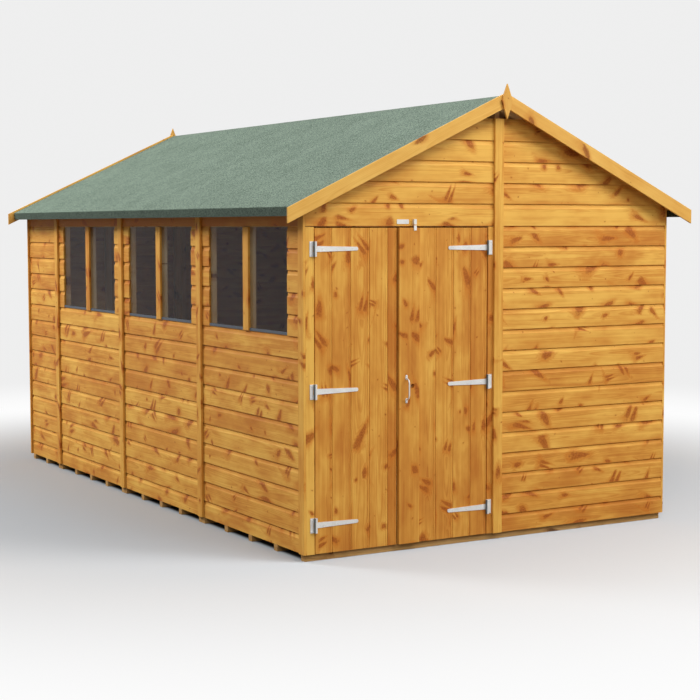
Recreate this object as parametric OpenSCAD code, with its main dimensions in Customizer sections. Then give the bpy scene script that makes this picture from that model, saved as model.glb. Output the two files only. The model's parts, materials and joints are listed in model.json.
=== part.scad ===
// Boarded garden shed with an apex roof, three side windows and a pair of hinged doors.
// Millimetres. X runs along the front, Y from front to back, Z up from the ground.

/* [Plan] */
// Width of the walls over the side boards
shed_w = 2370; // [2200:10:2600]
// Length of one windowed side panel
panel_l = 1182; // [1000:1:1400]
// Length of the plain side panel at the back
end_panel_l = 590; // [450:10:900]
// Distance from the front boards to the first side panel
side_in = 76; // [60:1:100]
// Number of windowed side panels
window_panels = 3; // [1:1:4]

/* [Floor] */
// Width of a bearer
bearer_w = 40; // [34:1:60]
// Height of a bearer
bearer_h = 44; // [38:1:60]
// Bearers under a windowed panel
bearers_full = 5; // [3:1:7]
// Bearers under the plain end panel
bearers_end = 3; // [2:1:4]
// Gap between the two bearers at a floor joint
bearer_gap = 2; // [1:0.5:10]
// Thickness of the floor deck
deck_t = 12; // [9:1:20]

/* [Walls] */
// Thickness of the wall boards
clad_t = 12; // [9:1:18]
// How far the boards hang below the bearer tops
clad_drop = 8; // [4:1:16]
// Visible height of one board
course = 111.5; // [95:0.5:125]
// Board courses below the windows
courses_sill = 10; // [9:1:11]
// Board courses below the window and door heads
courses_head = 15; // [14:1:16]
// Height of the side boards over the windows
head_h = 129; // [110:1:200]
// Face width of a frame post or rail
frame_w = 44; // [36:1:56]
// Depth of a frame post or rail
frame_d = 38; // [28:1:44]
// Gap left between frame members that meet
frame_joint = 2; // [1:0.5:4]
// Width of a cover strip
strip_w = 58; // [44:1:70]
// Thickness of a cover strip
strip_t = 14; // [10:1:16]

/* [Windows] */
// Width of the boards between a panel's end and its window
pier_w = 122; // [100:1:180]
// Thickness of the glass
glass_t = 3; // [2:0.5:4]
// Depth of the glass behind the face of the boards
glass_set = 9; // [6:1:9]
// Width of the bar over the middle of a window
mullion_w = 65; // [45:1:80]
// How far that bar stands proud of the boards
mullion_proud = 5; // [0:1:10]
// Height of the bead under a pane
bead_h = 16; // [10:1:25]
// Thickness of that bead
bead_t = 7; // [4:1:8]

/* [Doors] */
// Width of the jamb board at the corner
jamb_l = 48.5; // [46:0.5:80]
// Width of the middle jamb board left bare by the cover strip
jamb_show = 34; // [34:1:60]
// Gap round the door leaves
leaf_gap = 5; // [4:0.5:8]
// Gap between the two leaves
meet_gap = 7; // [6:0.5:10]
// How far the leaves meet to the left of the doorway's middle
meet_in = 38.25; // [20:0.25:60]
// Thickness of the door boards
leaf_t = 12; // [9:1:16]
// Gap between the door boards and the floor behind them
floor_clear = 6; // [5:0.5:12]
// Height of the leaf's lower edge above the lower edge of the wall boards
leaf_lift = 2; // [0:0.5:10]
// Width of a ledge or brace on the back of a leaf
ledge_w = 90; // [70:1:110]
// Thickness of a ledge or brace
ledge_t = 20; // [16:1:24]
// Width of a diagonal brace, measured level
brace_w = 110; // [80:1:130]
// How far ledges stop short of the leaf edges
ledge_in = 30; // [20:1:50]
// Width of the closing strip on the right leaf
close_w = 126; // [116:1:140]
// Thickness of the closing strip
close_t = 12; // [8:1:14]

/* [Roof] */
// Slope of the roof in degrees
pitch = 25; // [22:0.2:28]
// Gap under the roof boards and under the felt, where sloped faces rest on each other
roof_seat = 0.3; // [0.2:0.1:0.6]
// How far the eaves reach beyond the side boards
eaves_out = 94; // [70:1:140]
// How far the roof reaches beyond the gable boards
verge_out = 59; // [40:1:90]
// Thickness of the roof boards
roof_t = 12; // [9:1:18]
// Thickness of the felt
felt_t = 3; // [2:0.5:5]
// Height of the felt-wrapped band at the eaves
band_h = 48; // [40:1:60]
// Thickness of that band
band_t = 20; // [14:1:30]
// Width of a bargeboard
barge_w = 71; // [60:1:90]
// Thickness of a bargeboard
barge_t = 12; // [10:1:18]
// How far a bargeboard stands above the felt
barge_up = 12; // [0:1:20]
// How far a bargeboard reaches beyond the eaves
barge_out = 43; // [0:1:80]
// Gap between the two bargeboards at the apex
barge_gap = 2; // [1:0.5:4]
// Height of a finial
finial_h = 190; // [150:1:220]
// Width of a finial
finial_w = 71; // [55:1:90]
// Height of a finial's widest point above its lower tip
finial_mid = 98; // [80:1:110]
// How far a finial's upper tip stands above the ridge
finial_up = 60; // [30:1:70]
// Thickness of a finial
finial_t = 12; // [9:1:18]
// How far the gable boards stop below the roof's underside at the apex
peak_cut = 103; // [90:1:130]
// Depth of the ridge beam
ridge_h = 95; // [80:1:120]
// Thickness of the ridge beam and the purlins
ridge_t = 30; // [24:1:40]
// Depth of a purlin
purlin_h = 60; // [50:1:70]
// Level distance from the ridge to the first row of purlins, and from row to row
purlin_step = 400; // [300:10:500]

/* [Hardware] */
// Height of a hinge plate
hinge_h = 77; // [70:1:95]
// Width of a hinge plate
plate_w = 28.5; // [26:0.5:35]
// Thickness of the hinge metal
plate_t = 3; // [2:0.5:3.5]
// Radius of the hinge knuckles
knuckle_r = 9; // [7:0.5:10]
// Radius of the hinge pin
pin_r = 4; // [3:0.25:5]
// Running clearance of a knuckle round its pin
pin_clear = 0.05; // [0.02:0.01:0.1]
// Gap between neighbouring knuckles
knuckle_gap = 0.5; // [0.3:0.1:1]
// Gap between a knuckle and the boards behind it
knuckle_set = 0.4; // [0.3:0.1:1]
// Distance from the tip of a right strap to the closing strip
strap_clear = 187; // [120:1:230]
// Height of a strap at the hinge
strap_root = 30; // [24:1:36]
// Height of a strap at its tip
strap_tip = 19; // [12:1:22]
// Height of the low hinge above the leaf's lower edge
hinge_low = 149; // [110:1:220]
// Height of the middle hinge above the leaf's lower edge
hinge_mid = 835; // [700:5:950]
// Distance of the high hinge below the leaf's upper edge
hinge_high = 106; // [80:1:200]
// Height of the pull handle
handle_h = 150; // [120:1:180]
// Reach of the pull handle
handle_out = 33; // [30:1:44]
// Radius of the handle bar
bar_r = 4; // [3:0.5:5]
// Width of the handle's feet
foot_w = 13; // [11:0.5:18]
// Length of the handle's feet
foot_l = 27; // [22:0.5:32]
// Thickness of the handle's feet
foot_t = 3; // [2:0.5:5]
// Radius of the bends in the handle bar
bend_r = 24; // [12:1:26]
// Distance of the handle from the closing strip's free edge
handle_in = 44; // [35:1:50]
// Height of the handle's middle above the leaf's lower edge
handle_z = 822; // [700:1:1000]
// Radius of the key hole
key_r = 12.5; // [8:0.5:14]
// Distance of the key hole from the closing strip's free edge
key_in = 82; // [78:1:90]
// Height of the key hole above the leaf's lower edge
key_z = 836; // [700:1:1000]
// Width of the two catch pieces
catch_w = 16; // [14:1:24]
// Length of the catch bolt
bolt_l = 26; // [22:1:36]
// Length of the catch keep
keep_l = 28; // [20:1:36]
// Thickness of the catch bolt
bolt_t = 4; // [3:0.5:6]
// Gap between the bolt and its keep
catch_gap = 5; // [5:0.5:8]
// Distance of the catch from the closing strip's free edge
catch_in = 88; // [60:1:95]
// How far the bolt stands above the leaf's upper edge
bolt_up = 12; // [8:1:16]

/* [Hidden] */
$fn = 48;
hw = shed_w / 2;
side_l = side_in + window_panels * panel_l + end_panel_l;
hl = side_l / 2;
in_x = hw - clad_t;
in_y = hl - clad_t;
clad_z = bearer_h - clad_drop;
floor_z = bearer_h + deck_t;
sill_z = clad_z + courses_sill * course;
head_z = clad_z + courses_head * course;
tan_p = tan(pitch);
cos_p = cos(pitch);
eave_x = hw + eaves_out;
wall_top = head_z + head_h;
function seat_z(x) = wall_top + (hw - abs(x)) * tan_p;
function under_z(x) = seat_z(x) + roof_seat;
function deck_z(x) = under_z(x) + roof_t / cos_p;
function felt_z(x) = deck_z(x) + roof_seat;
function top_z(x) = felt_z(x) + felt_t / cos_p;
peak_z = seat_z(0) - peak_cut;
peak_x = peak_cut / tan_p;
verge_y = hl + verge_out;
function panel_y(k) = k <= window_panels ? side_in + k * panel_l - hl : hl;
window_w = panel_l - 2 * pier_w;
function window_y(k) = panel_y(k) + pier_w;
jamb_r = strip_w / 2 + jamb_show;
leaf_x0 = jamb_l + leaf_gap - hw;
leaf_x1 = -jamb_r - leaf_gap;
leaf_l = (leaf_x1 - leaf_x0 - meet_gap) / 2 - meet_in;
split_x = leaf_x0 + leaf_l + meet_gap;
leaf_z0 = clad_z + leaf_lift;
leaf_z1 = head_z - leaf_gap;
leaf_back = leaf_t - hl;
hinge_z = [leaf_z0 + hinge_low, leaf_z0 + hinge_mid, leaf_z1 - hinge_high];
close_y = -hl - close_t;
axis_y = -hl - knuckle_r - knuckle_set;
axis_l = leaf_x0 - leaf_gap / 2;
axis_r = leaf_x1 + leaf_gap / 2;
strap_l = axis_r - split_x - close_w - strap_clear;
frame_y = in_y - frame_d;
frame_x = in_x - frame_d;
wood = [0.80, 0.55, 0.26];
pale_wood = [0.90, 0.70, 0.38];
raw_wood = [0.82, 0.66, 0.44];
felt_green = [0.48, 0.58, 0.50];
band_green = [0.28, 0.37, 0.31];
zinc = [0.88, 0.89, 0.90];
pane = [0.30, 0.32, 0.34];

// Box between two corners
module block(x0, x1, y0, y1, z0, z1) {
  translate([x0, y0, z0]) cube([x1 - x0, y1 - y0, z1 - z0]);
}

// Outline in X and Z, extruded from y0 to y1
module prism(y0, y1, points) {
  translate([0, y1, 0]) rotate([90, 0, 0]) linear_extrude(y1 - y0) polygon(points);
}

// Floor
module floor_bearers() {
  color(raw_wood)
    for (k = [0 : window_panels]) {
      count = k < window_panels ? bearers_full : bearers_end;
      first = k == 0 ? leaf_back + floor_clear : panel_y(k) + bearer_gap / 2;
      last = (k == window_panels ? in_y : panel_y(k + 1) - bearer_gap / 2) - bearer_w;
      for (j = [0 : count - 1]) {
        y = first + (last - first) * j / (count - 1);
        block(-hw, hw, y, y + bearer_w, 0, clad_z);
        block(-in_x, in_x, y, y + bearer_w, clad_z, bearer_h);
      }
    }
}

module floor_deck() {
  color(raw_wood) block(-in_x, in_x, leaf_back + floor_clear, in_y, bearer_h, floor_z);
}

// Side walls
module left_wall_lower() {
  color(wood) block(-hw, -in_x, -in_y, in_y, clad_z, sill_z);
}

module left_wall_piers() {
  color(wood)
    for (k = [0 : window_panels])
      block(-hw, -in_x, k == 0 ? -in_y : window_y(k - 1) + window_w,
            k == window_panels ? in_y : window_y(k), sill_z, head_z);
}

module left_wall_head() {
  color(wood) block(-hw, -in_x, -in_y, in_y, head_z, wall_top);
}

module right_wall() {
  color(wood) block(in_x, hw, -in_y, in_y, clad_z, wall_top);
}

// Windows
glass_x = glass_set - hw;

module window_glass() {
  color(pane)
    for (k = [0 : window_panels - 1])
      block(glass_x, glass_x + glass_t, window_y(k), window_y(k) + window_w, sill_z, head_z);
}

module window_mullions() {
  color(wood)
    for (k = [0 : window_panels - 1]) {
      mid = window_y(k) + window_w / 2;
      block(-hw - mullion_proud, glass_x, mid - mullion_w / 2, mid + mullion_w / 2, sill_z, head_z);
    }
}

module window_beads() {
  color([0.25, 0.28, 0.33])
    for (k = [0 : window_panels - 1], side = [0, 1]) {
      half = (window_w - mullion_w) / 2;
      y = window_y(k) + side * (half + mullion_w);
      block(glass_x - bead_t, glass_x, y, y + half, sill_z, sill_z + bead_h);
    }
}

// Gable walls
module gable_panel(y, x0, x1, z0) {
  prism(y, y + clad_t, [[x0, z0], [x1, z0], [x1, seat_z(x1)], [peak_x, peak_z], [x0, peak_z]]);
}

module back_wall() {
  color(wood)
    prism(in_y, hl, [[-hw, clad_z], [hw, clad_z], [hw, wall_top], [peak_x, peak_z],
                     [-peak_x, peak_z], [-hw, wall_top]]);
}

module front_panel() {
  color(wood) gable_panel(-hl, 0, hw, clad_z);
}

module front_header() {
  color(wood) mirror([1, 0, 0]) gable_panel(-hl, 0, hw, head_z);
}

module door_jambs() {
  color(wood) {
    block(-hw, jamb_l - hw, -hl, -in_y, clad_z, head_z);
    block(-jamb_r, 0, -hl, -in_y, clad_z, head_z);
  }
}

// Frames inside the walls
module side_posts(x0) {
  for (k = [0 : window_panels]) {
    y0 = panel_y(k) + frame_joint / 2;
    y1 = k == window_panels ? frame_y - frame_joint : panel_y(k + 1) - frame_joint / 2;
    windowed = x0 < 0 && k < window_panels;
    for (y = [y0, y1 - frame_w])
      block(x0, x0 + frame_d, y, y + frame_w, floor_z + frame_w, wall_top - frame_w);
    block(x0, x0 + frame_d, (y0 + y1 - frame_w) / 2, (y0 + y1 + frame_w) / 2,
          floor_z + frame_w, windowed ? sill_z - frame_w : wall_top - frame_w);
    if (windowed)
      for (y = [window_y(k) - frame_w, (y0 + y1 - frame_w) / 2, window_y(k) + window_w])
        block(x0, x0 + frame_d, y, y + frame_w, sill_z, head_z);
  }
}

module gable_post(x, y0, z0) {
  block(x, x + frame_w, y0, y0 + frame_d, z0, wall_top - frame_w);
}

module wall_posts() {
  color(raw_wood) {
    side_posts(-in_x);
    side_posts(frame_x);
    block(-in_x, jamb_l - hw, -in_y, -frame_y, floor_z, wall_top - frame_w);
    gable_post(-jamb_r, -in_y, floor_z);
    for (x = [frame_joint, (in_x - frame_w) / 2, in_x - frame_w])
      gable_post(x, -in_y, floor_z + frame_w);
    for (x = [-in_x, -(in_x + frame_w) / 2, -frame_w - frame_joint / 2, frame_joint / 2,
              (in_x - frame_w) / 2, in_x - frame_w])
      gable_post(x, frame_y, floor_z + frame_w);
  }
}

module wall_rails() {
  color(raw_wood) {
    for (x = [-in_x, frame_x], z = [floor_z, wall_top - frame_w])
      block(x, x + frame_d, frame_joint - frame_y, frame_y - frame_joint, z, z + frame_w);
    for (k = [0 : window_panels - 1], z = [sill_z - frame_w, head_z])
      block(-in_x, -frame_x, panel_y(k) + frame_joint / 2 + frame_w,
            panel_y(k + 1) - frame_joint / 2 - frame_w, z, z + frame_w);
    for (y = [-in_y, frame_y])
      block(-in_x, in_x, y, y + frame_d, wall_top - frame_w, wall_top);
    block(-in_x, in_x, frame_y, in_y, floor_z, floor_z + frame_w);
    block(frame_joint, in_x, -in_y, -frame_y, floor_z, floor_z + frame_w);
    block(jamb_l - hw, -jamb_r, -in_y, -frame_y, head_z, head_z + frame_w);
  }
}

module rafter(y) {
  drop = frame_w / cos_p;
  prism(y, y + frame_d, [[ridge_t / 2, seat_z(ridge_t / 2)], [in_x, seat_z(in_x)], [in_x, wall_top],
                         [hw - drop / tan_p, wall_top], [ridge_t / 2, seat_z(ridge_t / 2) - drop]]);
}

module gable_rafters() {
  color(raw_wood)
    for (y = [-in_y, frame_y], side = [0, 1]) mirror([side, 0, 0]) rafter(y);
}

// Strips over the panel joints and corners: the back corners are covered from the back
module cover_strips() {
  side_top = seat_z(hw + strip_t);
  color(wood) {
    for (x = [-hw - strip_t, hw]) {
      block(x, x + strip_t, -hl, strip_w - hl, clad_z, side_top);
      for (k = [1 : window_panels])
        block(x, x + strip_t, panel_y(k) - strip_w / 2, panel_y(k) + strip_w / 2, clad_z, side_top);
    }
    for (x = [-hw - strip_t, hw + strip_t - strip_w])
      block(x, x + strip_w, hl, hl + strip_t, clad_z, side_top);
    for (y = [-hl - strip_t, hl])
      block(-strip_w / 2, strip_w / 2, y, y + strip_t, clad_z, peak_z);
  }
}

// Roof
module slope_sheet(x_end, upper, lower) {
  prism(-verge_y, verge_y, [[0, upper[0]], [x_end, upper[1]], [x_end, lower[1]], [0, lower[0]]]);
}

module roof_deck() {
  x = eave_x - band_t;
  slope_sheet(x, [deck_z(0), deck_z(x)], [under_z(0), under_z(x)]);
}

module roof_felt() {
  slope_sheet(eave_x, [top_z(0), top_z(eave_x)], [felt_z(0), felt_z(eave_x)]);
}

module roof_deck_left() { color(raw_wood) mirror([1, 0, 0]) roof_deck(); }
module roof_deck_right() { color(raw_wood) roof_deck(); }
module roof_felt_left() { color(felt_green) mirror([1, 0, 0]) roof_felt(); }
module roof_felt_right() { color(felt_green) roof_felt(); }

module eaves_bands() {
  color(band_green)
    for (side = [0, 1]) mirror([side, 0, 0])
      prism(-verge_y, verge_y, [[eave_x - band_t, top_z(eave_x) - band_h], [eave_x, top_z(eave_x) - band_h],
                                [eave_x, deck_z(eave_x)], [eave_x - band_t, deck_z(eave_x - band_t)]]);
}

module roof_purlins() {
  color(raw_wood)
    for (x = [purlin_step : purlin_step : frame_x - purlin_step / 2], side = [0, 1]) mirror([side, 0, 0])
      prism(-frame_y, frame_y, [[x - ridge_t / 2, seat_z(x - ridge_t / 2)],
                                [x + ridge_t / 2, seat_z(x + ridge_t / 2)],
                                [x + ridge_t / 2, seat_z(x) - purlin_h],
                                [x - ridge_t / 2, seat_z(x) - purlin_h]]);
}

module ridge_beam() {
  top = seat_z(ridge_t / 2);
  color(raw_wood) block(-ridge_t / 2, ridge_t / 2, -in_y, in_y, top - ridge_h, top);
}

module bargeboards(y) {
  x0 = barge_gap / 2;
  x1 = eave_x + barge_out;
  rise = barge_up / cos_p;
  drop = barge_w / cos_p - rise;
  color(pale_wood)
    for (side = [0, 1]) mirror([side, 0, 0])
      prism(y, y + barge_t, [[x0, top_z(x0) + rise], [x1, top_z(x1) + rise], [x1, top_z(x1) - drop],
                             [x0, top_z(x0) - drop]]);
}

module front_bargeboards() { bargeboards(-verge_y - barge_t); }
module back_bargeboards() { bargeboards(verge_y); }

module finials() {
  tip = top_z(0) + finial_up;
  low = tip - finial_h;
  outline = [[0, low], [finial_w / 2, low + finial_mid], [0, tip], [-finial_w / 2, low + finial_mid]];
  color(pale_wood) {
    prism(-verge_y - barge_t - finial_t, -verge_y - barge_t, outline);
    prism(verge_y + barge_t, verge_y + barge_t + finial_t, outline);
  }
}

// Hinges: plate, end knuckles and pin on the jamb, middle knuckle and strap on the leaf
knuckle_l = (hinge_h - strap_root) / 2 - knuckle_gap;

module hinge_plate() {
  translate([-plate_w, -plate_t - axis_y - hl, -hinge_h / 2]) {
    cube([plate_w, plate_t, knuckle_l]);
    translate([0, 0, hinge_h - knuckle_l]) cube([plate_w, plate_t, knuckle_l]);
    cube([plate_w - knuckle_r - knuckle_gap, plate_t, hinge_h]);
  }
  for (z = [-hinge_h / 2, hinge_h / 2 - knuckle_l]) translate([0, 0, z]) cylinder(r = knuckle_r, h = knuckle_l);
  translate([0, 0, -hinge_h / 2]) cylinder(r = pin_r, h = hinge_h);
}

module hinge_strap() {
  difference() {
    union() {
      translate([0, 0, -strap_root / 2]) cylinder(r = knuckle_r, h = strap_root);
      translate([0, -axis_y - hl, 0]) rotate([90, 0, 0]) linear_extrude(plate_t) {
        polygon([[0, -strap_root / 2], [strap_l - strap_tip / 2, -strap_tip / 2],
                 [strap_l - strap_tip / 2, strap_tip / 2], [0, strap_root / 2]]);
        translate([strap_l - strap_tip / 2, 0]) circle(d = strap_tip);
      }
    }
    translate([0, 0, -strap_root]) cylinder(r = pin_r + pin_clear, h = 2 * strap_root);
  }
}

module at_hinges(side) {
  for (z = hinge_z)
    translate([side > 0 ? axis_r : axis_l, axis_y, z]) rotate([0, 180 * side, 0]) children();
}

module hinge_plates() {
  color(zinc) for (side = [0, 1]) at_hinges(side) hinge_plate();
}

module left_straps() { color(zinc) at_hinges(0) hinge_strap(); }
module right_straps() { color(zinc) at_hinges(1) hinge_strap(); }

// Door leaves
module key_hole() {
  translate([split_x + key_in, -hl, leaf_z0 + key_z])
    rotate([90, 0, 0]) cylinder(r = key_r, h = 4 * (leaf_t + close_t), center = true);
}

module left_leaf_boards() {
  color(wood) block(leaf_x0, leaf_x0 + leaf_l, -hl, leaf_back, leaf_z0, leaf_z1);
}

module right_leaf_boards() {
  color(wood) difference() {
    block(split_x, leaf_x1, -hl, leaf_back, leaf_z0, leaf_z1);
    key_hole();
  }
}

module ledges(x0, x1) {
  for (z = hinge_z)
    block(x0 + ledge_in, x1 - ledge_in, leaf_back, leaf_back + ledge_t, z - ledge_w / 2, z + ledge_w / 2);
}

// Diagonals that rise from the hinge side, between one ledge and the next
module braces(x0, x1) {
  for (k = [0, 1]) {
    low = hinge_z[k] + ledge_w / 2;
    high = hinge_z[k + 1] - ledge_w / 2;
    prism(leaf_back, leaf_back + ledge_t, [[x0, low], [x0 + brace_w, low], [x1, high], [x1 - brace_w, high]]);
  }
}

module left_leaf_ledges() { color(raw_wood) ledges(leaf_x0, leaf_x0 + leaf_l); }

module left_leaf_braces() {
  color(raw_wood) braces(leaf_x0 + ledge_in, leaf_x0 + leaf_l - ledge_in);
}

module right_leaf_braces() {
  color(raw_wood) mirror([1, 0, 0]) braces(ledge_in - leaf_x1, -split_x - ledge_in);
}

module right_leaf_ledges() {
  color(raw_wood) difference() {
    ledges(split_x, leaf_x1);
    key_hole();
  }
}

module closing_strip() {
  color(wood) difference() {
    block(split_x, split_x + close_w, close_y, -hl, leaf_z0, leaf_z1);
    key_hole();
  }
}

// Pull handle: two long feet and a bar with rounded bends
module pull_handle() {
  leg = handle_h / 2 - foot_l + foot_w / 2;
  reach = handle_out - bar_r;
  color(zinc) translate([split_x + handle_in, close_y, leaf_z0 + handle_z])
    for (side = [0, 1]) mirror([0, 0, side]) {
      translate([0, 0, leg]) rotate([90, 0, 0]) {
        linear_extrude(foot_t) {
          circle(d = foot_w);
          translate([-foot_w / 2, 0]) square([foot_w, foot_l - foot_w]);
          translate([0, foot_l - foot_w]) circle(d = foot_w);
        }
        cylinder(r = bar_r, h = reach - bend_r);
      }
      translate([0, bend_r - reach, leg - bend_r]) rotate([0, -90, 0])
        rotate([0, 0, -90]) rotate_extrude(angle = 90) translate([bend_r, 0]) circle(r = bar_r);
      translate([0, -reach, 0]) cylinder(r = bar_r, h = leg - bend_r);
    }
}

// Top catch: bolt on the leaf, keep on the header
catch_z = leaf_z1 + bolt_up;

module catch_bolt() {
  x = split_x + catch_in;
  color(zinc) block(x, x + catch_w, close_y - bolt_t, close_y, catch_z - bolt_l, catch_z);
}

module catch_keep() {
  x = split_x + catch_in;
  color(zinc) block(x, x + catch_w, close_y - bolt_t, -hl, catch_z + catch_gap, catch_z + catch_gap + keep_l);
}

floor_bearers();
floor_deck();
left_wall_lower();
left_wall_piers();
left_wall_head();
window_glass();
window_mullions();
window_beads();
right_wall();
back_wall();
front_panel();
front_header();
door_jambs();
wall_posts();
wall_rails();
gable_rafters();
cover_strips();
roof_deck_left();
roof_deck_right();
roof_felt_left();
roof_felt_right();
eaves_bands();
roof_purlins();
ridge_beam();
front_bargeboards();
back_bargeboards();
finials();
hinge_plates();
catch_keep();
left_leaf_boards();
left_leaf_ledges();
left_leaf_braces();
left_straps();
right_leaf_boards();
right_leaf_ledges();
right_leaf_braces();
closing_strip();
right_straps();
pull_handle();
catch_bolt();
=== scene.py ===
import bpy, bmesh, json, math, random
from mathutils import Matrix, Vector


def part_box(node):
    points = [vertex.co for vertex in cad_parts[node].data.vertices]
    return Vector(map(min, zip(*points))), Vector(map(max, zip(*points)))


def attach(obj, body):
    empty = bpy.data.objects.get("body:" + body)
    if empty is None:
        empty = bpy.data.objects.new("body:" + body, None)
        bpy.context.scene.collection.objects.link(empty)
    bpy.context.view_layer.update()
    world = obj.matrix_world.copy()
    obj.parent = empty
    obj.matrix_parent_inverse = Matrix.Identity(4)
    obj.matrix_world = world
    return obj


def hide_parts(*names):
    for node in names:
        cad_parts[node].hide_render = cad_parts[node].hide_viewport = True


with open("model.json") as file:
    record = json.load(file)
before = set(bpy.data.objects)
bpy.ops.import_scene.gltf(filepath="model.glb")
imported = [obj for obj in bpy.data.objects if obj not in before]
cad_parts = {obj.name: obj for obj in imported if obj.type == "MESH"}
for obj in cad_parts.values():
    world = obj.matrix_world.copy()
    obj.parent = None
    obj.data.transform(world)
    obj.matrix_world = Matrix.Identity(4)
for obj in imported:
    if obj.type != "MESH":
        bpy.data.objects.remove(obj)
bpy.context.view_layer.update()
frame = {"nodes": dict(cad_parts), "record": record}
scene = bpy.context.scene
scene.view_settings.view_transform = "Standard"
dice = random.Random(41)  # one seed, so every run saws the same boards
print("frame loaded,", len(frame["nodes"]), "nodes")

xAxis, yAxis, zAxis = Vector((1, 0, 0)), Vector((0, 1, 0)), Vector((0, 0, 1))

shedPlan = {
    "halfWidth": 1.185, "halfLength": 2.106, "boardThick": 0.012, "pitch": 25.0,
    "panelStart": 0.076, "panelLength": 1.182, "windowPanels": 3, "pierWidth": 0.122, "jointGap": 0.0006,
    "boardFoot": 0.036, "firstLap": 0.1308, "sillCourse": 10, "headCourse": 15, "gableLift": 0.006,
}
halfWidth, halfLength = shedPlan["halfWidth"], shedPlan["halfLength"]
boardThick, boardFoot = shedPlan["boardThick"], shedPlan["boardFoot"]
jointGap, pitch = shedPlan["jointGap"], math.radians(shedPlan["pitch"])
slope = math.tan(pitch)
innerX, innerY = halfWidth - boardThick, halfLength - boardThick
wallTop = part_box("left_wall_head")[1].z
sillHeight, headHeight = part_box("left_wall_lower")[1].z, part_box("left_wall_head")[0].z
course = (headHeight - shedPlan["firstLap"]) / (shedPlan["headCourse"] - 1)
panelEdges = [-halfLength + shedPlan["panelStart"] + k * shedPlan["panelLength"]
              for k in range(shedPlan["windowPanels"] + 1)] + [halfLength]


def paint(red, green, blue):  # screen colour, 0 to 255, to the linear values that sockets take
    shares = (red / 255, green / 255, blue / 255)
    return tuple(s / 12.92 if s <= 0.04045 else ((s + 0.055) / 1.055) ** 2.4 for s in shares) + (1.0,)


class Wire:  # a socket that can be added, multiplied and passed on
    def __init__(self, tree, socket=None):
        self.tree, self.socket = tree, socket

    def add(self, kind, settings=None, links=None, out=0):
        node = self.tree.nodes.new(kind)
        for key, value in (settings or {}).items():
            if key == "stops":
                ramp = node.color_ramp
                while len(ramp.elements) < len(value):
                    ramp.elements.new(0.5)
                for element, (place, colour) in zip(ramp.elements, value):
                    element.position, element.color = place, colour
            else:
                setattr(node, key, value)
        for key, value in (links or {}).items():
            if isinstance(value, Wire):
                self.tree.links.new(value.socket, node.inputs[key])
            else:
                node.inputs[key].default_value = value
        return Wire(self.tree, node.outputs[out] if node.outputs else None)

    def other(self, name):  # another output of the same node
        return Wire(self.tree, self.socket.node.outputs[name])

    def maths(self, operation, *values):
        return self.add("ShaderNodeMath", {"operation": operation}, dict(enumerate((self,) + values)))

    def __add__(self, value):
        return self.maths("ADD", value)

    def __radd__(self, value):
        return self.maths("ADD", value)

    def __sub__(self, value):
        return self.maths("SUBTRACT", value)

    def __rsub__(self, value):
        return (self * -1) + value

    def __mul__(self, value):
        return self.maths("MULTIPLY", value)

    def __rmul__(self, value):
        return self.maths("MULTIPLY", value)

    def __truediv__(self, value):
        return self.maths("DIVIDE", value)

    def __pow__(self, value):
        return self.maths("POWER", value)

    def fade(self, low, high, start=0.0, end=1.0):  # smooth step from low to high
        return self.add("ShaderNodeMapRange", {"interpolation_type": "SMOOTHSTEP"},
                        {"Value": self, "From Min": low, "From Max": high, "To Min": start, "To Max": end})

    def parts(self):
        split = self.add("ShaderNodeSeparateXYZ", None, {"Vector": self})
        return split, split.other("Y"), split.other("Z")

    def point(self, across, depth=0.0):
        return self.add("ShaderNodeCombineXYZ", None, {"X": self, "Y": across, "Z": depth})

    def noise(self, scale=1.0, detail=2.0, roughness=0.5):
        return self.add("ShaderNodeTexNoise", None, {"Vector": self, "Scale": scale, "Detail": detail,
                                                     "Roughness": roughness})

    def ramp(self, *stops):
        return self.add("ShaderNodeValToRGB", {"stops": stops}, {"Fac": self})

    def blend(self, colour, amount):  # the Mix node's colour sockets go by number
        return self.add("ShaderNodeMix", {"data_type": "RGBA"}, {0: amount, 6: self, 7: colour}, 2)

    def bump(self, strength, distance):
        return self.add("ShaderNodeBump", None, {"Height": self, "Strength": strength, "Distance": distance})


def newFinish(name):
    material = bpy.data.materials.new(name)
    material.use_nodes = True
    material.node_tree.nodes.clear()
    return material, Wire(material.node_tree)


def objectPlace(wire):
    return wire.add("ShaderNodeTexCoord", None, None, "Object")


def coatWith(wire, links):  # the surface and its output
    surface = wire.add("ShaderNodeBsdfPrincipled", None, links)
    wire.add("ShaderNodeOutputMaterial", None, {"Surface": surface})


woodLooks = {
    "honeyBoards": {
        "pale": paint(236, 183, 85), "warm": paint(214, 148, 60), "deep": paint(188, 112, 38),
        "halo": paint(198, 112, 30), "knot": paint(178, 94, 26), "core": paint(122, 56, 12),
        "knotty": 0.72, "spread": 0.6, "ring": 0.006, "rough": 0.56},
    "paleTrim": {
        "pale": paint(231, 182, 92), "warm": paint(220, 164, 76), "deep": paint(194, 133, 52),
        "halo": paint(198, 126, 46), "knot": paint(150, 80, 26), "core": paint(112, 54, 16),
        "knotty": 0.4, "spread": 0.4, "ring": 0.005, "rough": 0.56},
    "sawnFrame": {
        "pale": paint(240, 212, 162), "warm": paint(228, 192, 134), "deep": paint(202, 154, 92),
        "halo": paint(184, 124, 64), "knot": paint(126, 72, 30), "core": paint(92, 48, 18),
        "knotty": 0.5, "spread": 0.6, "ring": 0.007, "rough": 0.7},
    "bearerWood": {
        "pale": paint(206, 164, 106), "warm": paint(184, 140, 82), "deep": paint(150, 108, 60),
        "halo": paint(150, 102, 54), "knot": paint(104, 66, 34), "core": paint(80, 46, 20),
        "knotty": 0.4, "spread": 0.6, "ring": 0.007, "rough": 0.75},
}
branchKnots = {"cellLong": 0.22, "cellWide": 0.112, "small": 0.007, "large": 0.022,
               "longest": 4.2, "pairs": 0.2, "share": 1.0}
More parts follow.
